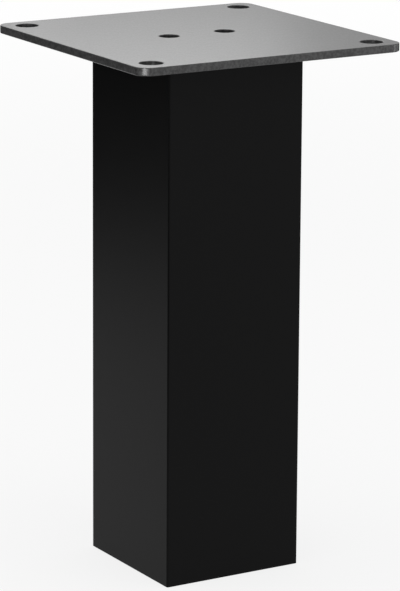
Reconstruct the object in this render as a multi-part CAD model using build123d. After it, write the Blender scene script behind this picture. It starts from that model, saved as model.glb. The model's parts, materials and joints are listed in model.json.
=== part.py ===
from build123d import *

import os
from math import sqrt

# Bar support leg, in millimetres
# It stands on z = 0 with its long axis on z. The x axis runs through the two driver holes.
overall_height = 212.0

# Top plate
plate_side = 116.0
plate_thickness = 3.2
plate_corner_radius = 5.6
plate_edge_round = 0.4
fixing_hole_spacing = 97.5
fixing_hole_diameter = 9.0
driver_hole_spacing = 25.0
driver_hole_diameter = 8.0
hole_rim_chamfer = 0.3

# Post
post_side = 60.0
post_wall = 2.0
post_corner_radius = 0.8
post_inner_radius = 0.5

# Foot plate, inside the lower end of the post
foot_thickness = 4.0
foot_gap = 0.2
foot_corner_radius = 3.0
foot_groove = 2.4
foot_hole_diameter = 4.5
countersink_diameter = 8.4
countersink_angle = 90

# Weld between the post and the top plate
weld_leg = 3.5
weld_crown = 0.45

# Sizes that follow from those above
post_length = overall_height - plate_thickness
post_inside = post_side - 2 * post_wall
foot_side = post_inside - 2 * foot_gap


def driver_line():
    """The two places on the x axis that the long screwdriver passes."""
    return GridLocations(driver_hole_spacing, 0, 2, 1)


def make_top_plate():
    """Square plate with rounded corners, four fixing holes and two driver holes."""
    outline = RectangleRounded(plate_side, plate_side, plate_corner_radius)
    blank = extrude(Pos(0, 0, post_length) * outline, plate_thickness)
    faces = blank.faces().sort_by(Axis.Z)
    blank = fillet(faces[0].edges() + faces[-1].edges(), plate_edge_round)

    fixing_hole = Cylinder(fixing_hole_diameter / 2, 4 * plate_thickness)
    driver_hole = Cylinder(driver_hole_diameter / 2, 4 * plate_thickness)
    fixing_grid = GridLocations(fixing_hole_spacing, fixing_hole_spacing, 2, 2)
    cutters = [place * fixing_hole for place in fixing_grid]
    cutters += [place * driver_hole for place in driver_line()]
    plate = blank - [Pos(0, 0, post_length) * cutter for cutter in cutters]

    rims = plate.edges().filter_by(GeomType.CIRCLE).filter_by(is_hole_rim)
    return chamfer(rims, hole_rim_chamfer)


def is_hole_rim(edge):
    """True for an edge where a hole meets a flat face of the plate."""
    rim_radii = (fixing_hole_diameter / 2, driver_hole_diameter / 2)
    return any(abs(edge.radius - radius) < 1e-6 for radius in rim_radii)


def make_post_tube():
    """Square tube with nearly sharp corners, from the floor to the top plate."""
    outside = RectangleRounded(post_side, post_side, post_corner_radius)
    inside = RectangleRounded(post_inside, post_inside, post_inner_radius)
    return extrude(outside - inside, post_length)


def make_foot_blank():
    """The foot plate before drilling, its lower edge cut back to take the weld."""
    outline = RectangleRounded(foot_side, foot_side, foot_corner_radius)
    blank = extrude(outline, foot_thickness)
    lower_face = blank.faces().sort_by(Axis.Z)[0]
    return chamfer(lower_face.edges(), foot_groove)


def make_foot_plate():
    """Foot plate with two screw holes, countersunk from inside the post."""
    hole = CounterSinkHole(
        foot_hole_diameter / 2, countersink_diameter / 2, foot_thickness, countersink_angle
    )
    cutters = [place * Pos(0, 0, foot_thickness) * hole for place in driver_line()]
    return make_foot_blank() - cutters


def make_foot_weld():
    """Weld that fills the groove between the foot plate and the post, ground level with the floor."""
    mouth = RectangleRounded(post_inside, post_inside, post_inner_radius)
    return extrude(mouth, foot_groove) - make_foot_blank()


def make_top_weld():
    """Fillet weld all round the post, a little crowned, carried round the post's corners."""
    face = post_side / 2
    post_toe = Vector(face, post_length - weld_leg)
    plate_toe = Vector(face + weld_leg, post_length)
    outward = Vector(1, -1) / sqrt(2)
    crown = (post_toe + plate_toe) / 2 + outward * weld_crown
    sides = Polyline(post_toe, (face, post_length), plate_toe)
    section = make_face(Plane.XZ * (sides + ThreePointArc(plate_toe, crown, post_toe)))

    corner_centre = face - post_corner_radius
    run = extrude(section, corner_centre, both=True)
    corner_axis = Axis((corner_centre, corner_centre, 0), (0, 0, 1))
    corner = revolve(Pos(0, corner_centre, 0) * section, corner_axis, 90)
    quarters = [Rot(0, 0, 90 * turn) * (run + corner) for turn in range(4)]
    return quarters[0] + quarters[1:]


def export_all():
    """Writes each piece to its own file."""
    pieces = {
        "top_plate": make_top_plate(),
        "post_tube": make_post_tube(),
        "foot_plate": make_foot_plate(),
        "top_weld": make_top_weld(),
        "foot_weld": make_foot_weld(),
    }
    os.makedirs("parts", exist_ok=True)
    for name, piece in pieces.items():
        export_step(piece, f"parts/{name}.step")
        size = piece.bounding_box().size
        print(name, round(piece.volume), "mm3", [round(side, 2) for side in size])


export_all()
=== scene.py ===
"""Looks of the bar support leg: coated plate and post, weld beads, and the studio round them."""

import json
import logging
import math
from abc import ABC, abstractmethod
from dataclasses import dataclass, field
from enum import Enum

import bmesh
import bpy
from mathutils import Euler, Matrix, Vector


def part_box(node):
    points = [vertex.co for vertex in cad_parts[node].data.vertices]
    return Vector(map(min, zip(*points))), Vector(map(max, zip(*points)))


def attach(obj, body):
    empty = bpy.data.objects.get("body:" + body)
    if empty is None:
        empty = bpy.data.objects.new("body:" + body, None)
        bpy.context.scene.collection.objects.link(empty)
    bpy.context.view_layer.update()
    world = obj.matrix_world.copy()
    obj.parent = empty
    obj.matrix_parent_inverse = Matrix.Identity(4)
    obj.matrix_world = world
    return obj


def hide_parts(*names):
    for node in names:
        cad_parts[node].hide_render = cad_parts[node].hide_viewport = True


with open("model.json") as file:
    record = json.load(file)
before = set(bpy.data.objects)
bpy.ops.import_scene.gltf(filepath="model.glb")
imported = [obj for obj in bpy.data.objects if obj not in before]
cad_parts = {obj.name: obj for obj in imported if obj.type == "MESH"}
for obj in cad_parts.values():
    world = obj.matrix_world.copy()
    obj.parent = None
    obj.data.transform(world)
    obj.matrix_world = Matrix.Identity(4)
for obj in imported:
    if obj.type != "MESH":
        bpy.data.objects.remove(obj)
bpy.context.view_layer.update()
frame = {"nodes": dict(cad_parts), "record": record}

MM = 0.001
BODY = "root"

# Points nearer than this are one point.
NEAR = 1e-6
# An edge between faces that meet at a larger angle than this is shaded sharp.
SHARP = math.radians(40)
# Width of the flat ring next to a rounded edge, which keeps the shading of the big face even.
FLAT_RING = 1.0 * MM
# Part of the grain's range over which a coat goes from its darkest to its lightest.
GRAIN_SPAN = (0.38, 0.62)
WHITE = (1, 1, 1, 1)
BLACK = (0, 0, 0, 1)

Triple = tuple[float, float, float]

log = logging.getLogger("bar_support_leg")


class Slot(Enum):
    """The record's material slots."""

    PLATE = "plate_coat"
    POST = "post_coat"


class NodeSheet:
    """A node tree that is filled by kind of node and linked by socket."""

    def __init__(self, tree: bpy.types.NodeTree) -> None:
        """Takes the node tree of a material or of the world, and empties it."""
        self.tree = tree
        tree.nodes.clear()

    def add(
        self, kind: str, inputs: dict[str | int, object] | None = None, **settings: object
    ) -> bpy.types.Node:
        """Adds one node.

        Args:
            kind: The node's type name, without its "ShaderNode" prefix.
            inputs: Socket name or number to its value, or to the socket that feeds it.
            **settings: The node's own properties, such as operation="MULTIPLY".

        Returns:
            The new node.
        """
        node = self.tree.nodes.new("ShaderNode" + kind)
        for name, value in settings.items():
            setattr(node, name, value)
        for key, value in (inputs or {}).items():
            if isinstance(value, bpy.types.NodeSocket):
                self.tree.links.new(value, node.inputs[key])
            else:
                node.inputs[key].default_value = value
        return node

    def background_rays(self) -> bpy.types.NodeSocket:
        """Adds a test for the rays that show the backdrop itself.

        Returns:
            A socket that is 1 for camera, glossy and transmission rays, and 0 for the others.
        """
        path = self.add("LightPath")
        seen = self.add(
            "Math",
            {0: path.outputs["Is Camera Ray"], 1: path.outputs["Is Glossy Ray"]},
            operation="MAXIMUM",
        )
        either = self.add(
            "Math",
            {0: seen.outputs[0], 1: path.outputs["Is Transmission Ray"]},
            operation="MAXIMUM",
        )
        return either.outputs[0]


@dataclass(frozen=True)
class PowderCoat:
    """Powder coat, sprayed on and baked, with orange peel and a fine grain.

    Attributes:
        name: The material's name.
        slot: The record's material slot that it stands for. It is not used.
        colour: Linear base colour.
        mottle: Share by which the colour goes up and down from grain to grain.
        roughness: Roughness of the skin between its bumps.
        specular: Level of the mirror part, 0.5 being that of a clear varnish.
        peel_size: Width of one orange-peel dimple, in metres.
        peel_depth: Height of the orange peel, in metres.
        grain_size: Width of one grain of powder, in metres.
        grain_depth: Height of the grain, in metres.
    """

    name: str
    slot: Slot
    colour: Triple
    mottle: float
    roughness: float
    specular: float
    peel_size: float
    peel_depth: float
    grain_size: float
    grain_depth: float

    def material(self) -> bpy.types.Material:
        """Makes the coat at the first call, and reuses it after that.

        Returns:
            The coat, as a material.
        """
        made = bpy.data.materials.get(self.name)
        if made:
            return made
        made = bpy.data.materials.new(self.name)
        made.use_nodes = True
        sheet = NodeSheet(made.node_tree)
        place = sheet.add("TexCoord").outputs["Object"]
        peel = self._speckle(sheet, place, self.peel_size)
        grain = self._speckle(sheet, place, self.grain_size)
        skin = sheet.add(
            "BsdfPrincipled",
            {
                "Base Color": self._tint(sheet, grain),
                "Roughness": self.roughness,
                "Specular IOR Level": self.specular,
                "Normal": self._bumps(sheet, peel, grain),
            },
        )
        sheet.add("OutputMaterial", {"Surface": skin.outputs["BSDF"]})
        return made

    @staticmethod
    def _speckle(
        sheet: NodeSheet, place: bpy.types.NodeSocket, size: float
    ) -> bpy.types.NodeSocket:
        """Adds noise with speckles of a size in metres, and returns its value, about 0 to 1."""
        speckle = sheet.add("TexNoise", {"Vector": place, "Scale": 1 / size})
        return speckle.outputs["Fac"]

    def _tint(self, sheet: NodeSheet, grain: bpy.types.NodeSocket) -> bpy.types.NodeSocket:
        """Adds the coat's colour, lighter and darker from grain to grain.

        Args:
            sheet: The sheet that takes the nodes.
            grain: The grain's value.

        Returns:
            The colour.
        """
        low = [channel * (1 - self.mottle) for channel in self.colour]
        high = [channel * (1 + self.mottle) for channel in self.colour]
        start, end = GRAIN_SPAN
        cloud = sheet.add("MapRange", {"Value": grain, "From Min": start, "From Max": end})
        tint = sheet.add(
            "Mix",
            {"Factor": cloud.outputs["Result"], "A": (*low, 1), "B": (*high, 1)},
            data_type="RGBA",
        )
        return tint.outputs["Result"]

    def _bumps(
        self, sheet: NodeSheet, peel: bpy.types.NodeSocket, grain: bpy.types.NodeSocket
    ) -> bpy.types.NodeSocket:
        """Adds the relief of the coat, its grain on top of its orange peel.

        Args:
            sheet: The sheet that takes the nodes.
            peel: The orange peel's value.
            grain: The grain's value.

        Returns:
            The normal of the skin.
        """
        coarse = sheet.add("Bump", {"Height": peel, "Distance": self.peel_depth})
        fine = sheet.add(
            "Bump",
            {"Height": grain, "Distance": self.grain_depth, "Normal": coarse.outputs["Normal"]},
        )
        return fine.outputs["Normal"]


PLATE_COAT = PowderCoat(
    name="plate_powder_coat",
    slot=Slot.PLATE,
    colour=(0.020, 0.020, 0.0203),
    mottle=0.9,
    roughness=0.3,
    specular=0.55,
    peel_size=2.2 * MM,
    peel_depth=0.05 * MM,
    grain_size=0.8 * MM,
    grain_depth=0.012 * MM,
)
POST_COAT = PowderCoat(
    name="post_powder_coat",
    slot=Slot.POST,
    colour=(0.0030, 0.0030, 0.0031),
    mottle=0.1,
    roughness=0.4,
    specular=0.075,
    peel_size=2.6 * MM,
    peel_depth=0.012 * MM,
    grain_size=0.7 * MM,
    grain_depth=0.008 * MM,
)


def mount(name: str) -> dict:
    """Returns the record's mount of that name, with its place, axis and dimensions."""
    return next(m for m in frame["record"]["mounts"] if m["name"] == name)


def quarter_arc(radius: float, steps: int) -> list[tuple[float, float]]:
    """Returns the points of a quarter circle round (0, 0), from the first axis to the second."""
    turns = [math.pi / 2 * step / steps for step in range(steps + 1)]
    return [(radius * math.cos(turn), radius * math.sin(turn)) for turn in turns]


def add_object(
    mesh: bmesh.types.BMesh, name: str, material: bpy.types.Material
) -> bpy.types.Object:
    """Turns a mesh into an object of the scene.

    Args:
        mesh: The mesh, with its place in its vertices. It is freed here.
        name: The object's name.
        material: Its material.

    Returns:
        The object.
    """
    data = bpy.data.meshes.new(name)
    mesh.to_mesh(data)
    mesh.free()
    data.materials.append(material)
    made = bpy.data.objects.new(name, data)
    bpy.context.scene.collection.objects.link(made)
    return made


def verts_of(made: list) -> list[bmesh.types.BMVert]:
    """Returns the vertices among the vertices, edges and faces that an operator made."""
    return [item for item in made if isinstance(item, bmesh.types.BMVert)]


def level_edges(
    mesh: bmesh.types.BMesh, height: float, open_only: bool = False
) -> list[bmesh.types.BMEdge]:
    """Finds the edges that lie level at one height.

    Args:
        mesh: The mesh to search.
        height: Their z, in metres.
        open_only: True for only those that border one face.

    Returns:
        The edges.
    """
    return [
        edge
        for edge in mesh.edges
        if all(abs(vert.co.z - height) < NEAR for vert in edge.verts)
        and (edge.is_boundary or not open_only)
    ]


def level_faces(mesh: bmesh.types.BMesh, height: float) -> list[bmesh.types.BMFace]:
    """Returns the faces that lie level at one height, in metres."""
    return [f for f in mesh.faces if all(abs(vert.co.z - height) < NEAR for vert in f.verts)]


def rounded_square(
    mesh: bmesh.types.BMesh, side: float, radius: float, height: float, steps: int
) -> bmesh.types.BMFace:
    """Adds a flat square face with rounded corners, centred on the z axis.

    Args:
        mesh: The mesh that takes it.
        side: Length of a side, in metres.
        radius: Corner radius, in metres.
        height: Its z, in metres.
        steps: Number of straight steps round each corner.

    Returns:
        The face.
    """
    lift = Matrix.Translation((0, 0, height))
    made = bmesh.ops.create_grid(mesh, x_segments=1, y_segments=1, size=side / 2, matrix=lift)
    bmesh.ops.bevel(
        mesh,
        geom=made["verts"],
        offset=radius,
        segments=steps,
        profile=0.5,
        affect="VERTICES",
        material=-1,
    )
    return level_faces(mesh, height)[0]


def round_edges(
    mesh: bmesh.types.BMesh, edges: list[bmesh.types.BMEdge], radius: float, steps: int
) -> None:
    """Rounds edges, or cuts them back flat in a single step.

    Args:
        mesh: The mesh that holds them.
        edges: The edges.
        radius: How far they are rounded or cut back, in metres.
        steps: Number of steps across them.
    """
    bmesh.ops.bevel(
        mesh,
        geom=edges,
        offset=radius,
        segments=steps,
        profile=0.5,
        affect="EDGES",
        material=-1,
    )


def close_level(mesh: bmesh.types.BMesh, height: float) -> None:
    """Fills the flat face at one height, in metres, round the holes that open in it."""
    bmesh.ops.triangle_fill(mesh, use_beauty=True, edges=level_edges(mesh, height, open_only=True))


def join_up(mesh: bmesh.types.BMesh) -> None:
    """Joins the parts of a mesh where they meet, and turns its faces outwards."""
    bmesh.ops.remove_doubles(mesh, verts=mesh.verts[:], dist=NEAR)
    bmesh.ops.recalc_face_normals(mesh, faces=mesh.faces[:])


@dataclass
class Piece(ABC):
    """A piece of the leg that is built anew and stands for one node of the frame.

    Attributes:
        name: The piece's name.
        node: The frame's node that it stands for.
        coat: Its finish.
        side: The node's width, in metres, read from the frame.
        bottom: The node's lowest z, in metres, read from the frame.
        top: The node's highest z, in metres, read from the frame.
    """

    name: str
    node: str
    coat: PowderCoat
    side: float = field(init=False)
    bottom: float = field(init=False)
    top: float = field(init=False)

    def __post_init__(self) -> None:
        """Reads the node's width and heights from the frame."""
        low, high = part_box(self.node)
        self.side = high.x - low.x
        self.bottom = low.z
        self.top = high.z

    @abstractmethod
    def shape(self, mesh: bmesh.types.BMesh) -> None:
        """Shapes the piece in an empty mesh."""

    def build(self) -> bpy.types.Object:
        """Builds the piece, closed and facing outwards, and dresses it.

        Returns:
            The piece.
        """
        mesh = bmesh.new()
        self.shape(mesh)
        join_up(mesh)
        for face in mesh.faces:
            face.smooth = True
        for edge in mesh.edges:
            edge.smooth = edge.calc_face_angle(0) < SHARP
        piece = add_object(mesh, self.name, self.coat.material())
        self.dress(piece)
        return piece

    def dress(self, piece: bpy.types.Object) -> None:
        """Evens the piece's shading, and sets it on the leg for its node.

        Args:
            piece: The piece.
        """
        evened = piece.modifiers.new("flat_faces_stay_flat", "WEIGHTED_NORMAL")
        evened.keep_sharp = True
        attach(piece, BODY)
        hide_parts(self.node)


@dataclass(frozen=True)
class Hole:
    """One round hole through a plate.

    Attributes:
        x: Place of its axis along x, in metres.
        y: Place of its axis along y, in metres.
        wall: Radius and height of each bend of its wall, from the upper face down.
    """

    x: float
    y: float
    wall: tuple[tuple[float, float], ...]

    def drill(self, mesh: bmesh.types.BMesh, steps: int) -> None:
        """Spins the hole's wall into a mesh whose two flat faces are still open.

        Args:
            mesh: The mesh that takes it.
            steps: Number of steps round it.
        """
        verts = [mesh.verts.new((self.x + radius, self.y, height)) for radius, height in self.wall]
        edges = [mesh.edges.new(pair) for pair in zip(verts, verts[1:])]
        bmesh.ops.spin(
            mesh,
            geom=verts + edges,
            cent=(self.x, self.y, 0),
            axis=(0, 0, 1),
            angle=2 * math.pi,
            steps=steps,
            use_merge=True,
        )


@dataclass
class DrilledPlate(Piece):
    """A square plate with rounded corners and round holes.

    Attributes:
        corner_radius: Radius of the outline's corners, in metres.
        corner_steps: Steps round a corner of the outline.
        hole_steps: Steps round a hole.
    """

    corner_radius: float
    corner_steps: int
    hole_steps: int

    @abstractmethod
    def holes(self) -> list[Hole]:
        """Returns every hole of the plate, from the mounts in the record."""

    @abstractmethod
    def trim(self, mesh: bmesh.types.BMesh) -> list[bmesh.types.BMFace]:
        """Shapes the outer edges, and returns the two flat faces that the holes go through."""

    def flats(self, mesh: bmesh.types.BMesh) -> list[bmesh.types.BMFace]:
        """Returns the plate's upper face and its lower face."""
        return level_faces(mesh, self.top) + level_faces(mesh, self.bottom)

    def shape(self, mesh: bmesh.types.BMesh) -> None:
        """Shapes the plate.

        Args:
            mesh: The empty mesh that takes it.
        """
        face = rounded_square(mesh, self.side, self.corner_radius, self.top, self.corner_steps)
        lower = verts_of(bmesh.ops.extrude_face_region(mesh, geom=[face])["geom"])
        bmesh.ops.translate(mesh, verts=lower, vec=(0, 0, self.bottom - self.top))
        bmesh.ops.delete(mesh, geom=self.trim(mesh), context="FACES_ONLY")
        for hole in self.holes():
            hole.drill(mesh, self.hole_steps)
        close_level(mesh, self.top)
        close_level(mesh, self.bottom)


@dataclass
class TopPlate(DrilledPlate):
    """The plate under the bar top, with four fixing holes and two driver holes.

    Attributes:
        upper_round: Radius of the upper outer edge under the coat, in metres.
        lower_round: Radius of the lower outer edge under the coat, in metres.
        rim_round: Radius of the holes' rims under the coat, in metres.
        edge_steps: Steps across a rounded edge or rim.
    """

    name: str = "plate"
    node: str = "top_plate"
    coat: PowderCoat = PLATE_COAT
    corner_radius: float = 5.6 * MM
    corner_steps: int = 14
    hole_steps: int = 56
    upper_round: float = 0.25 * MM
    lower_round: float = 0.4 * MM
    rim_round: float = 0.3 * MM
    edge_steps: int = 4

    def holes(self) -> list[Hole]:
        """Places the holes by the mounts in the record.

        Returns:
            The four fixing holes and the two driver holes.
        """
        fixings = mount("top_fixings")["dims"]
        reach_x = fixings["spacing_x_mm"] / 2 * MM
        reach_y = fixings["spacing_y_mm"] / 2 * MM
        wall = self.hole_wall(fixings["hole_r_mm"] * MM)
        made = [Hole(x, y, wall) for x in (-reach_x, reach_x) for y in (-reach_y, reach_y)]
        for driver in (mount("driver_hole_left"), mount("driver_hole_right")):
            x, y, _ = driver["pos_m"]
            made.append(Hole(x, y, self.hole_wall(driver["dims"]["r_mm"] * MM)))
        return made

    def hole_wall(self, radius: float) -> tuple[tuple[float, float], ...]:
        """Draws the wall of a hole, with a rounded rim and a flat ring at both faces.

        Args:
            radius: The hole's radius, in metres.

        Returns:
            Radius and height of each bend, from the top down.
        """
        arc = quarter_arc(self.rim_round, self.edge_steps)
        outer = radius + self.rim_round
        upper = [(outer - y, self.top - self.rim_round + x) for x, y in arc]
        lower = [(outer - y, self.bottom + self.rim_round - x) for x, y in reversed(arc)]
        ring = outer + FLAT_RING
        return ((ring, self.top), *upper, *lower, (ring, self.bottom))

    def trim(self, mesh: bmesh.types.BMesh) -> list[bmesh.types.BMFace]:
        """Rounds the plate's outer edges, and sets a flat ring inside them.

        Args:
            mesh: The mesh that holds the plate with square edges.

        Returns:
            The two flat faces inside the rings.
        """
        for height, radius in ((self.top, self.upper_round), (self.bottom, self.lower_round)):
            round_edges(mesh, level_edges(mesh, height), radius, self.edge_steps)
        flats = self.flats(mesh)
        bmesh.ops.inset_region(mesh, faces=flats, thickness=FLAT_RING)
        return flats


@dataclass
class FootPlate(DrilledPlate):
    """The plate in the post's lower end, with two screw holes countersunk from above.

    Attributes:
        groove: How far its lower edge is cut back for the weld, in metres.
        sink_radius: Radius of a countersink at the upper face, in metres.
    """

    name: str = "foot"
    node: str = "foot_plate"
    coat: PowderCoat = POST_COAT
    corner_radius: float = 3.0 * MM
    corner_steps: int = 8
    hole_steps: int = 40
    groove: float = 2.4 * MM
    sink_radius: float = 4.2 * MM

    def holes(self) -> list[Hole]:
        """Places the holes by the mount in the record.

        Returns:
            The two screw holes.
        """
        screws = mount("foot_fixings")["dims"]
        reach = screws["spacing_x_mm"] / 2 * MM
        radius = screws["hole_r_mm"] * MM
        neck = self.top - (self.sink_radius - radius)
        wall = ((self.sink_radius, self.top), (radius, neck), (radius, self.bottom))
        return [Hole(x, 0.0, wall) for x in (-reach, reach)]

    def trim(self, mesh: bmesh.types.BMesh) -> list[bmesh.types.BMFace]:
        """Cuts the lower edge back for the weld, and returns the flat faces that are left."""
        round_edges(mesh, level_edges(mesh, self.bottom), self.groove, 1)
        return self.flats(mesh)


@dataclass
class Post(Piece):
    """The square tube between the foot and the top plate.

    Attributes:
        wall: Thickness of its wall, in metres.
        corner_radius: Radius of its corners outside, in metres.
        inner_radius: Radius of its corners inside, in metres.
        end_round: Radius of the edges of its cut ends under the coat, in metres.
        corner_steps: Steps round a corner.
        end_steps: Steps across the edge of a cut end.
    """

    name: str = "post"
    node: str = "post_tube"
    coat: PowderCoat = POST_COAT
    wall: float = 2.0 * MM
    corner_radius: float = 0.8 * MM
    inner_radius: float = 0.5 * MM
    end_round: float = 0.2 * MM
    corner_steps: int = 6
    end_steps: int = 3

    def shape(self, mesh: bmesh.types.BMesh) -> None:
        """Shapes the tube.

        Args:
            mesh: The empty mesh that takes it.
        """
        self.sleeve(mesh, self.side, self.corner_radius)
        self.sleeve(mesh, self.side - 2 * self.wall, self.inner_radius)
        close_level(mesh, self.top)
        close_level(mesh, self.bottom)
        join_up(mesh)
        ends = level_edges(mesh, self.top) + level_edges(mesh, self.bottom)
        square = [edge for edge in ends if edge.calc_face_angle() > SHARP]
        round_edges(mesh, square, self.end_round, self.end_steps)

    def sleeve(self, mesh: bmesh.types.BMesh, side: float, radius: float) -> None:
        """Adds one upright skin of the tube, open at both ends.

        Args:
            mesh: The mesh that takes it.
            side: Its width, in metres.
            radius: Its corner radius, in metres.
        """
        face = rounded_square(mesh, side, radius, self.bottom, self.corner_steps)
        edges = face.edges[:]
        bmesh.ops.delete(mesh, geom=[face], context="FACES_ONLY")
        upper = verts_of(bmesh.ops.extrude_edge_only(mesh, edges=edges)["geom"])
        bmesh.ops.translate(mesh, verts=upper, vec=(0, 0, self.top - self.bottom))


@dataclass(frozen=True)
class RunPlace:
    """A place along the weld's run.

    Attributes:
        root: The inner corner between post and plate there.
        outward: Level direction out of the post there.
        ripples: Number of ripples since the start of the run.
    """

    root: Vector
    outward: Vector
    ripples: float


@dataclass
class TopWeld(Piece):
    """The fillet weld between post and top plate, a crowned bead with the ripples of its pool.

    Attributes:
        post_node: The frame's node of the post that it runs round.
        corner_radius: Radius of the post's corners, in metres.
        crown: How far the bead's middle stands out of the line between its toes, in metres.
        pitch: Length of one ripple, in metres.
        ripple_depth: Depth of the valley between two ripples, in metres.
        bow: How far a ripple's middle runs ahead of its ends, in metres.
        waver: Share by which the bead grows and shrinks along its run.
        arc_steps: Steps across the bead.
        ripple_steps: Steps along one ripple.
        corner_ripples: Number of ripples round a corner.
        face: Distance of the post's faces from its axis, in metres, read from the frame.
        leg: Length of the bead's legs, in metres, read from the frame.
        corner: Distance of the corners' centres from the post's faces' middles, in metres.
        run_ripples: Number of ripples along one face of the post.
    """

    name: str = "plate_weld"
    node: str = "top_weld"
    coat: PowderCoat = POST_COAT
    post_node: str = "post_tube"
    corner_radius: float = 0.8 * MM
    crown: float = 0.45 * MM
    pitch: float = 1.5 * MM
    ripple_depth: float = 0.14 * MM
    bow: float = 0.8 * MM
    waver: float = 0.06
    arc_steps: int = 8
    ripple_steps: int = 6
    corner_ripples: int = 3
    face: float = field(init=False)
    leg: float = field(init=False)
    corner: float = field(init=False)
    run_ripples: int = field(init=False)

    def __post_init__(self) -> None:
        """Reads the bead's place from the frame, and fits whole ripples to a face's length."""
        super().__post_init__()
        self.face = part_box(self.post_node)[1].x
        self.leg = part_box(self.node)[1].x - self.face
        self.corner = self.face - self.corner_radius
        self.run_ripples = round(2 * self.corner / self.pitch)

    def shape(self, mesh: bmesh.types.BMesh) -> None:
        """Shapes the bead, as four like quarters.

        Args:
            mesh: The empty mesh that takes it.
        """
        self.quarter(mesh)
        self.ripple(mesh)
        first = mesh.verts[:] + mesh.edges[:] + mesh.faces[:]
        for turn in range(1, 4):
            copy = verts_of(bmesh.ops.duplicate(mesh, geom=first)["geom"])
            matrix = Matrix.Rotation(turn * math.pi / 2, 3, "Z")
            bmesh.ops.rotate(mesh, verts=copy, cent=(0, 0, 0), matrix=matrix)

    def section(self, mesh: bmesh.types.BMesh) -> list[bmesh.types.BMEdge]:
        """Adds the closed outline of the bead's section at the start of a run.

        Args:
            mesh: The mesh that takes it.

        Returns:
            The outline's edges.
        """
        half_chord = self.leg / math.sqrt(2)
        radius = (half_chord**2 + self.crown**2) / (2 * self.crown)
        spread = math.asin(half_chord / radius)
        middle = Vector((self.face + self.leg / 2, 0, self.top - self.leg / 2))
        outward = Vector((1, 0, -1)).normalized()
        centre = middle + outward * (self.crown - radius)
        verts = [mesh.verts.new((self.face, -self.corner, self.top))]
        for step in range(self.arc_steps + 1):
            turn = spread * (1 - 2 * step / self.arc_steps)
            spoke = Matrix.Rotation(turn, 3, "Y") @ outward * radius
            verts.append(mesh.verts.new((centre.x + spoke.x, -self.corner, centre.z + spoke.z)))
        return [mesh.edges.new(pair) for pair in zip(verts, verts[1:] + verts[:1])]

    def quarter(self, mesh: bmesh.types.BMesh) -> None:
        """Adds one straight run of the bead and the corner after it.

        Args:
            mesh: The mesh that takes it.
        """
        edges = self.section(mesh)
        steps = self.run_ripples * self.ripple_steps
        for _ in range(steps):
            made = bmesh.ops.extrude_edge_only(mesh, edges=edges)["geom"]
            verts = verts_of(made)
            edges = [item for item in made if isinstance(item, bmesh.types.BMEdge)]
            edges = [edge for edge in edges if all(vert in verts for vert in edge.verts)]
            bmesh.ops.translate(mesh, verts=verts, vec=(0, 2 * self.corner / steps, 0))
        bmesh.ops.spin(
            mesh,
            geom=verts + edges,
            cent=(self.corner, self.corner, 0),
            axis=(0, 0, 1),
            angle=math.pi / 2,
            steps=self.corner_ripples * self.ripple_steps,
        )

    def run_place(self, point: Vector) -> RunPlace:
        """Finds where along a quarter a point of the bead lies.

        Args:
            point: The point.

        Returns:
            Its place along the run.
        """
        if point.y > self.corner - NEAR:
            spoke = Vector((point.x - self.corner, point.y - self.corner, 0))
            outward = spoke.normalized()
            centre = Vector((self.corner, self.corner, self.top))
            turned = math.atan2(spoke.y, spoke.x) / (math.pi / 2)
            ripples = self.run_ripples + turned * self.corner_ripples
            return RunPlace(centre + outward * self.corner_radius, outward, ripples)
        passed = (point.y + self.corner) / (2 * self.corner)
        root = Vector((self.face, point.y, self.top))
        return RunPlace(root, Vector((1, 0, 0)), passed * self.run_ripples)

    def ripple(self, mesh: bmesh.types.BMesh) -> None:
        """Presses the ripples and the waver of a hand-run bead into a quarter.

        Args:
            mesh: The mesh that holds one quarter.
        """
        in_quarter = self.run_ripples + self.corner_ripples
        for vert in mesh.verts:
            place = self.run_place(vert.co)
            arm = vert.co - place.root
            if arm.length < NEAR:
                continue
            out, down = arm.dot(place.outward), -arm.z
            rise = math.sin(2 * math.atan2(down, max(out, NEAR)))
            phase = place.ripples + rise * self.bow / self.pitch
            valley = 1 - abs(math.sin(math.pi * phase))
            waved = (1 + math.sin(2 * math.pi * place.ripples / in_quarter)) / 2
            vert.co -= arm * self.waver * waved
            vert.co -= arm.normalized() * self.ripple_depth * valley * max(rise, 0.0)


@dataclass(frozen=True)
class FootWeld:
    """The groove weld round the foot plate, ground flush, which keeps the frame's own mesh.

    Attributes:
        node: The frame's node.
        coat: Its finish.
    """

    node: str = "foot_weld"
    coat: PowderCoat = POST_COAT

    def dress(self) -> bpy.types.Object:
        """Gives the node its finish.

        Returns:
            The node.
        """
        weld = frame["nodes"][self.node]
        weld.data.materials.clear()
        weld.data.materials.append(self.coat.material())
        return weld


@dataclass(frozen=True)
class Panel:
    """Place, aim and size of a flat rectangle in the studio.

    Attributes:
        place: Its middle, in metres.
        aim: The point that it faces, in metres.
        size: Its width and height, in metres.
    """

    place: Triple
    aim: Triple
    size: tuple[float, float]

    def turn(self) -> Euler:
        """Returns the turn that points a lamp's -z at the aim, with its y upwards."""
        facing = Vector(self.aim) - Vector(self.place)
        return facing.to_track_quat("-Z", "Y").to_euler()


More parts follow.
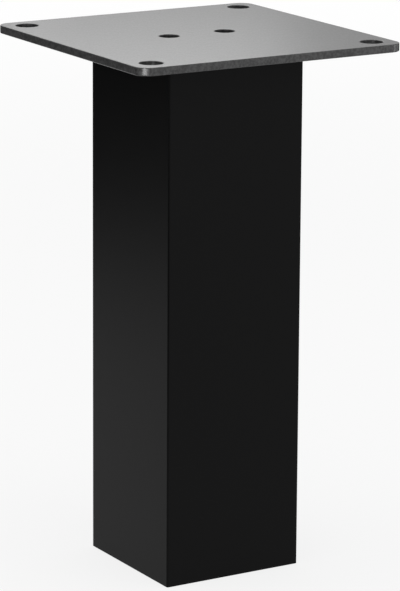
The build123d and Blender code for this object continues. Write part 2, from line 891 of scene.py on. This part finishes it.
@dataclass(frozen=True)
class SoftBox:
    """A soft lamp with a flat face.

    Attributes:
        name: The lamp's name.
        face: Where its face is.
        brightness: Brightness of its face, 1 being that of a white surface in full light.
        mirrored_only: True for a lamp that only shows in the coats' gloss.
        piece: The one piece that it reaches, or nothing for a lamp that reaches all.
    """

    name: str
    face: Panel
    brightness: float
    mirrored_only: bool = False
    piece: str = ""

    def build(self) -> None:
        """Builds the lamp."""
        data = bpy.data.lights.new(self.name, "AREA")
        data.shape = "RECTANGLE"
        data.size, data.size_y = self.face.size
        data.energy = self.brightness * math.pi * data.size * data.size_y
        lamp = bpy.data.objects.new(self.name, data)
        bpy.context.scene.collection.objects.link(lamp)
        lamp.location = self.face.place
        lamp.rotation_euler = self.face.turn()
        lamp.visible_camera = False
        lamp.visible_diffuse = not self.mirrored_only
        if self.piece:
            reached = bpy.data.collections.new(f"{self.name}_reaches")
            reached.objects.link(bpy.data.objects[self.piece])
            lamp.light_linking.receiver_collection = reached


@dataclass(frozen=True)
class DarkCard:
    """A black card that shows only in the coats' gloss, as is set beside a glossy thing.

    Attributes:
        name: The card's name.
        face: Where it stands.
    """

    name: str
    face: Panel

    def build(self) -> None:
        """Builds the card."""
        mesh = bmesh.new()
        bmesh.ops.create_grid(mesh, x_segments=1, y_segments=1, size=0.5)
        bmesh.ops.scale(mesh, verts=mesh.verts, vec=(*self.face.size, 1))
        matrix = Matrix.Translation(self.face.place) @ self.face.turn().to_matrix().to_4x4()
        bmesh.ops.transform(mesh, verts=mesh.verts, matrix=matrix)
        card = add_object(mesh, self.name, self.material())
        card.visible_camera = False
        card.visible_diffuse = False
        card.visible_transmission = False
        card.visible_shadow = False

    @staticmethod
    def material() -> bpy.types.Material:
        """Makes the card's black at the first call, and reuses it after that.

        Returns:
            The black, as a material.
        """
        made = bpy.data.materials.get("black_card")
        if made:
            return made
        made = bpy.data.materials.new("black_card")
        made.use_nodes = True
        sheet = NodeSheet(made.node_tree)
        black = sheet.add("BsdfDiffuse", {"Color": BLACK})
        sheet.add("OutputMaterial", {"Surface": black.outputs[0]})
        return made


# The first two light everything. The others light nothing and only show in the coats' gloss.
LAMPS = (
    SoftBox(
        name="overhead",
        face=Panel(place=(-0.1, 0.1, 1.3), aim=(0, 0, 0.1), size=(1.0, 1.0)),
        brightness=1.0,
    ),
    SoftBox(
        name="front_right",
        face=Panel(place=(0.5, -1.1, 0.6), aim=(0, 0, 0.1), size=(0.8, 0.8)),
        brightness=1.0,
    ),
    SoftBox(
        name="plate_sheen",
        face=Panel(place=(0.283, 0.53, 0.54), aim=(-0.24, -0.322, 0.54), size=(0.17, 0.34)),
        brightness=1.95,
        mirrored_only=True,
    ),
    SoftBox(
        name="rim_light",
        face=Panel(place=(-0.30, 0.36, 0.12), aim=(-0.058, -0.05, 0.21), size=(0.5, 0.2)),
        brightness=0.2,
        mirrored_only=True,
        piece="plate",
    ),
    SoftBox(
        name="corner_gleam",
        face=Panel(place=(-0.432, -0.383, 0.17), aim=(-0.055, -0.055, 0.17), size=(0.26, 0.26)),
        brightness=10.0,
        mirrored_only=True,
        piece="plate",
    ),
    SoftBox(
        name="side_gleam",
        face=Panel(place=(0.450, -0.364, 0.17), aim=(0.056, -0.056, 0.17), size=(0.10, 0.26)),
        brightness=3.2,
        mirrored_only=True,
        piece="plate",
    ),
)

# They stand where the coats' gloss would otherwise show the bright surroundings.
CARDS = (
    DarkCard(
        name="dark_card_far",
        face=Panel(place=(0.50, 0.53, 0.149), aim=(0, 0, 0.149), size=(0.5, 0.298)),
    ),
    DarkCard(
        name="dark_card_behind",
        face=Panel(place=(-0.27, 0.45, 0.135), aim=(0, 0, 0.135), size=(0.9, 0.27)),
    ),
    DarkCard(
        name="dark_card_right",
        face=Panel(place=(0.17, 0.05, 0.13), aim=(0.056, -0.056, 0.13), size=(0.2, 0.16)),
    ),
    DarkCard(
        name="dark_card_left",
        face=Panel(
            place=(-0.2, -0.094, 0.0825), aim=(-0.055, -0.055, 0.0825), size=(0.24, 0.165)
        ),
    ),
)


@dataclass
class Camera:
    """The camera, at the photograph's viewing angle.

    Attributes:
        place: Where it stands, in metres.
        heading: Angle of its view from +y towards +x, in degrees.
        dip: Angle of its view below the level, in degrees.
        roll: Turn about its line of view, in degrees.
        lens: Focal length, in millimetres, for a 36 mm long side.
        rise: Vertical shift, as a share of the long side.
    """

    place: Triple = (-0.6430, -1.0754, 0.4202)
    heading: float = 30.948
    dip: float = 12.471
    roll: float = 0.36
    lens: float = 199.1
    rise: float = -0.15

    def build(self) -> None:
        """Builds the camera and makes it the scene's own."""
        data = bpy.data.cameras.new("camera")
        data.lens = self.lens
        data.shift_y = self.rise
        camera = bpy.data.objects.new("camera", data)
        bpy.context.scene.collection.objects.link(camera)
        turn = Euler((math.radians(90 - self.dip), 0, math.radians(-self.heading))).to_matrix()
        turn = turn @ Matrix.Rotation(math.radians(self.roll), 3, "Z")
        camera.location = self.place
        camera.rotation_euler = turn.to_euler()
        bpy.context.scene.camera = camera


@dataclass
class Studio:
    """A pale floor that fades into a white backdrop, soft lamps, dark cards and the camera.

    Attributes:
        lamps: The soft lamps.
        cards: The dark cards.
        camera: The camera.
        ambient: Brightness of the plain light from all round.
        floor_radius: Radius of the floor, in metres.
        floor_steps: Steps round the floor's edge.
        fade_start: Distance from the leg at which the floor starts to fade, in metres.
        fade_end: Distance from the leg at which only the backdrop is left, in metres.
        floor_colour: Linear colour of the floor.
        floor_glow: Share of plain white in the floor near the leg, as it is seen.
    """

    lamps: tuple[SoftBox, ...] = LAMPS
    cards: tuple[DarkCard, ...] = CARDS
    camera: Camera = field(default_factory=Camera)
    ambient: float = 0.7
    floor_radius: float = 6.0
    floor_steps: int = 96
    fade_start: float = 0.5
    fade_end: float = 1.6
    floor_colour: Triple = (0.86, 0.86, 0.86)
    floor_glow: float = 0.8

    def build(self) -> None:
        """Builds the world, the floor, the lamps, the cards and the camera."""
        self.world()
        self.floor()
        for item in self.lamps + self.cards:
            item.build()
        self.camera.build()
        bpy.context.scene.view_settings.view_transform = "Standard"

    def world(self) -> None:
        """Makes the world: white where it is seen, and plain light elsewhere."""
        world = bpy.data.worlds.new("backdrop")
        world.use_nodes = True
        bpy.context.scene.world = world
        sheet = NodeSheet(world.node_tree)
        light = sheet.add("Background", {"Color": WHITE, "Strength": self.ambient})
        white = sheet.add("Background", {"Color": WHITE, "Strength": 1.0})
        both = sheet.add(
            "MixShader",
            {0: sheet.background_rays(), 1: light.outputs[0], 2: white.outputs[0]},
        )
        sheet.add("OutputWorld", {"Surface": both.outputs[0]})

    def floor(self) -> None:
        """Makes the floor, a disc with its own fading finish."""
        mesh = bmesh.new()
        bmesh.ops.create_circle(
            mesh, cap_ends=True, segments=self.floor_steps, radius=self.floor_radius
        )
        add_object(mesh, "floor", self.floor_material())

    def floor_material(self) -> bpy.types.Material:
        """Makes the floor's finish: matt near the leg, and the backdrop's white further out.

        Returns:
            The finish, as a material.
        """
        made = bpy.data.materials.new("pale_floor")
        made.use_nodes = True
        sheet = NodeSheet(made.node_tree)
        place = sheet.add("TexCoord").outputs["Object"]
        distance = sheet.add("VectorMath", {0: place}, operation="LENGTH")
        fade = sheet.add(
            "MapRange",
            {
                "Value": distance.outputs["Value"],
                "From Min": self.fade_start,
                "From Max": self.fade_end,
                "To Min": self.floor_glow,
            },
            interpolation_type="SMOOTHSTEP",
        )
        share = sheet.add(
            "Math",
            {0: sheet.background_rays(), 1: fade.outputs["Result"]},
            operation="MULTIPLY",
        )
        matt = sheet.add("BsdfDiffuse", {"Color": (*self.floor_colour, 1)})
        white = sheet.add("Emission", {"Color": WHITE, "Strength": 1.0})
        both = sheet.add(
            "MixShader",
            {0: share.outputs[0], 1: matt.outputs[0], 2: white.outputs[0]},
        )
        sheet.add("OutputMaterial", {"Surface": both.outputs[0]})
        return made


def main() -> None:
    """Builds the leg and its studio, in order, and reports each piece."""
    logging.basicConfig(level=logging.INFO, format="%(message)s")
    for part in (TopPlate(), Post(), FootPlate(), TopWeld()):
        piece = part.build()
        log.info("%s: %d faces, in place of %s", piece.name, len(piece.data.polygons), part.node)
    weld = FootWeld().dress()
    log.info("%s: kept from the frame", weld.name)
    studio = Studio()
    studio.build()
    log.info("studio: %d lamps, %d dark cards", len(studio.lamps), len(studio.cards))


if __name__ == "__main__":
    main()
